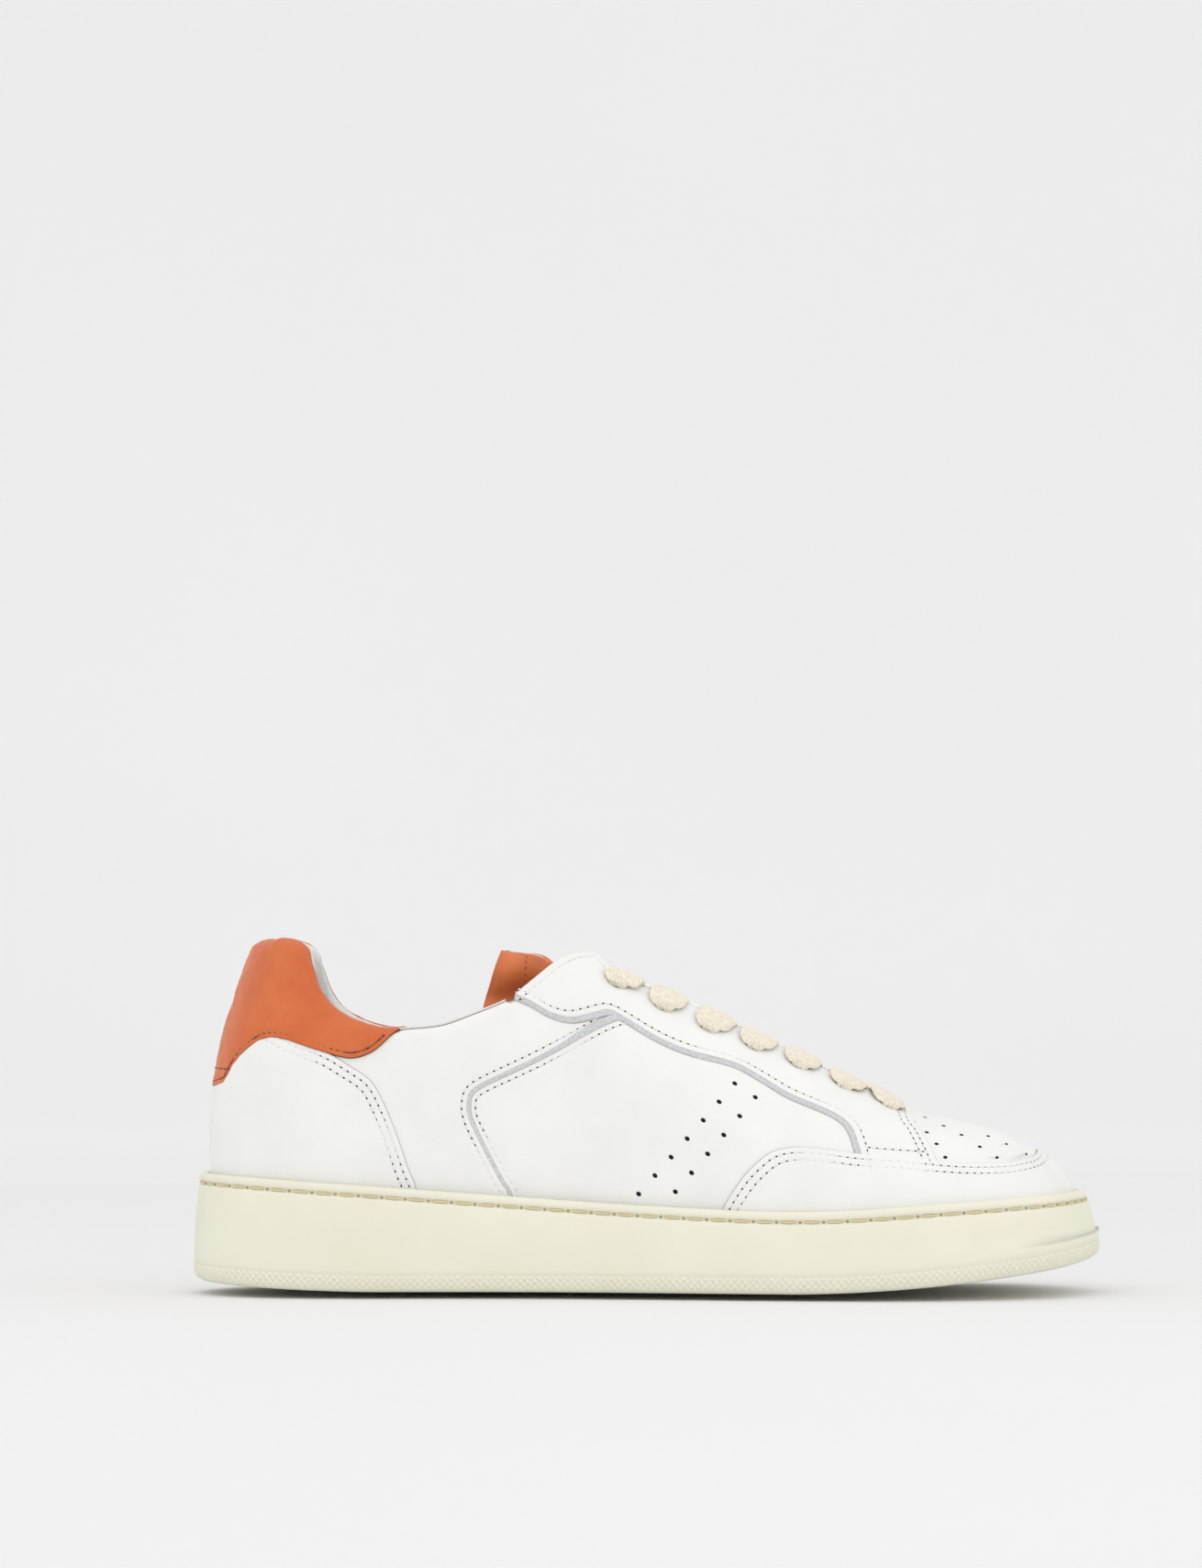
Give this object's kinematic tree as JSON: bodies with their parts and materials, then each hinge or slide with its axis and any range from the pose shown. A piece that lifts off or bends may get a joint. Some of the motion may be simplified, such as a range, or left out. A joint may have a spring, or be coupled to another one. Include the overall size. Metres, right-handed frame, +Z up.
{
  "type": "court shoe",
  "caption": "Low lace-up court shoe for the right foot: white leather upper with tan heel collar and tongue, perforated toe and quarter, cream stitched cupsole, flat laces.",
  "frame": {"origin": "on the ground, under the middle of the outsole's length and width", "axes": "+X to the toe, +Z up, -Y the outer (lateral) side of a right shoe"},
  "size_m": [0.292, 0.1084, 0.1129],
  "materials": {
    "rubber_cream": "matte moulded rubber",
    "thread_tan": "waxed sidewall thread",
    "foam": "open-cell foam",
    "board": "fibre board and heat-formed stiffener",
    "footbed_fabric": "woven footbed cover",
    "leather_white": "smooth full-grain leather, satin",
    "leather_tan": "soft milled nappa leather, satin",
    "suede_grey": "raw cut edge and flesh side of the leather",
    "lining_fabric": "fine woven lining",
    "lace_cotton": "flat braided cotton",
    "tip_plastic": "clear-coated lace tip"
  },
  "bodies": {
    "shoe": {"cupsole": "rubber_cream", "sole_stitching": "thread_tan", "midsole_filler": "foam", "insole_board": "board", "toe_box": "leather_white", "toe_puff": "board", "vamp_lining": "lining_fabric", "mudguard": "leather_white", "quarter_lateral": "leather_white", "quarter_medial": "leather_white", "quarter_edging_lateral": "suede_grey", "quarter_edging_medial": "suede_grey", "rear_quarter_lateral": "leather_white", "rear_quarter_medial": "leather_white", "eyestay_lateral": "leather_white", "eyestay_medial": "leather_white", "eyestay_edging_lateral": "suede_grey", "eyestay_edging_medial": "suede_grey", "eyelet_tape_lateral": "lining_fabric", "eyelet_tape_medial": "lining_fabric", "heel_panel": "leather_white", "heel_counter": "board", "heel_collar_patch": "leather_tan", "collar_padding": "foam", "quarter_lining_lateral": "lining_fabric", "quarter_lining_medial": "lining_fabric", "lace": "lace_cotton", "lace_tips": "tip_plastic"},
    "tongue": {"tongue_outer": "leather_tan", "tongue_padding": "foam", "tongue_lining": "lining_fabric"},
    "footbed_body": {"footbed": "footbed_fabric"}
  },
  "joints": [
    {"name": "tongue_swing", "type": "hinge", "parent": "shoe", "child": "tongue", "pos_m": [0.083, 0, 0.049], "axis": [0, 1, 0], "range_deg": [-7, 0]},
    {"name": "footbed_lift", "type": "hinge", "parent": "shoe", "child": "footbed_body", "pos_m": [0.131, 0, 0.0195], "axis": [0, 1, 0], "range_deg": [0, 4]}
  ]
}
